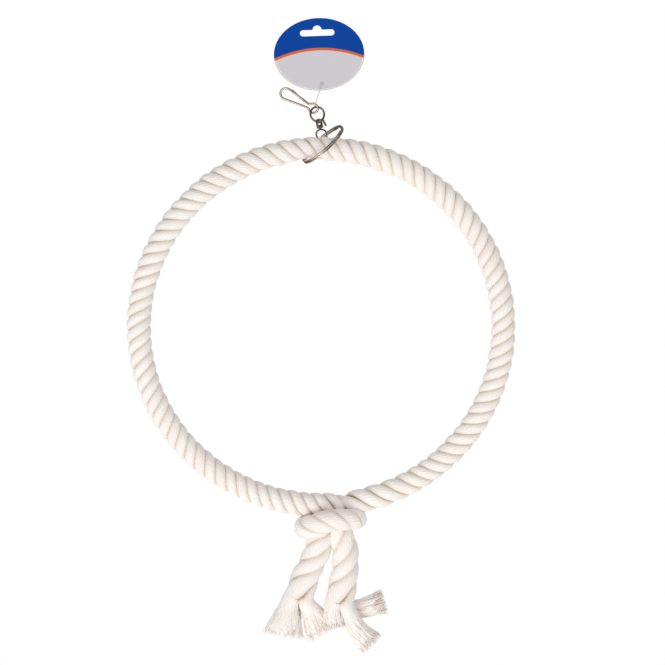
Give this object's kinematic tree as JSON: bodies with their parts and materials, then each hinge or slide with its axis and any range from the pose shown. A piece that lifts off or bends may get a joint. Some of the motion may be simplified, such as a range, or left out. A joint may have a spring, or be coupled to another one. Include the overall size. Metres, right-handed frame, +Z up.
{
  "type": "rope ring bird swing",
  "caption": "Perch ring of thick white three-strand cotton rope, knotted below with frayed ends, hung from a split ring, swivel and wire snap with an oval hang tag.",
  "frame": {"origin": "inside the crown of the snap, where the bar or cage wire that it hangs on bears", "axes": "+Z up, +Y from the front to the back through the rope ring, +X to the right seen from the front"},
  "size_m": [0.2672, 0.0713, 0.4383],
  "materials": {
    "nickel_plated_steel": "polished nickel plate",
    "galvanised_wire": "dull zinc",
    "natural_cotton": "laid cotton yarn, undyed",
    "printed_card": "glossy printed card",
    "clear_nylon": "clear filament"
  },
  "bodies": {
    "clip": {"clip_frame": "nickel_plated_steel"},
    "gate": {"clip_gate": "nickel_plated_steel"},
    "tag": {"hang_tag": "printed_card", "tag_loop": "clear_nylon", "tag_lock": "clear_nylon"},
    "swivel": {"swivel_ring": "nickel_plated_steel", "swivel_yoke": "nickel_plated_steel"},
    "eye": {"swivel_eye": "nickel_plated_steel"},
    "split": {"split_ring": "nickel_plated_steel"},
    "rope_ring": {"ring_rope": "natural_cotton", "core_hoop": "galvanised_wire", "knot_wrap": "natural_cotton", "left_neck": "natural_cotton", "right_neck": "natural_cotton"},
    "left_end": {"left_tail": "natural_cotton", "left_strand_front": "natural_cotton", "left_strand_right": "natural_cotton", "left_strand_back": "natural_cotton"},
    "right_end": {"right_tail": "natural_cotton", "right_strand_front": "natural_cotton", "right_strand_curl": "natural_cotton", "right_strand_side": "natural_cotton"}
  },
  "joints": [
    {"name": "gate_spring", "type": "hinge", "parent": "clip", "child": "gate", "pos_m": [0.0179, -0.00036, -0.0084], "axis": [-0.1606, -0.9397, -0.302], "range_deg": [0, 18], "stiffness_Nm_per_rad": 0.2},
    {"name": "tag_swing", "type": "hinge", "parent": "clip", "child": "tag", "pos_m": [0.02331, -0.00113, -0.00888], "axis": [0.9495, 0, -0.3137], "range_deg": [-58, 95]},
    {"name": "clip_swing", "type": "hinge", "parent": "clip", "child": "swivel", "pos_m": [0.02477, 0.00074, -0.01573], "axis": [-0.3349, 0.9397, -0.0694], "range_deg": [-35, 35]},
    {"name": "swivel_spin", "type": "hinge", "parent": "swivel", "child": "eye", "pos_m": [0.02769, 0.00074, -0.02984], "axis": [-0.2028, 0, 0.9792], "continuous": true},
    {"name": "split_rock", "type": "hinge", "parent": "eye", "child": "split", "pos_m": [0.02784, 0.00074, -0.03052], "axis": [1, 0, 0], "range_deg": [-7, 15]},
    {"name": "rope_slide", "type": "hinge", "parent": "split", "child": "rope_ring", "pos_m": [0.02737, -0.00102, -0.16196], "axis": [0, 0.9921, 0.1253], "range_deg": [-120, 120]},
    {"name": "left_tail_bend", "type": "hinge", "parent": "rope_ring", "child": "left_end", "pos_m": [0.02597, 0.01855, -0.31689], "axis": [1, 0, 0], "range_deg": [-25, 25]},
    {"name": "right_tail_bend", "type": "hinge", "parent": "rope_ring", "child": "right_end", "pos_m": [0.04317, 0.01855, -0.31689], "axis": [1, 0, 0], "range_deg": [-25, 25]}
  ]
}
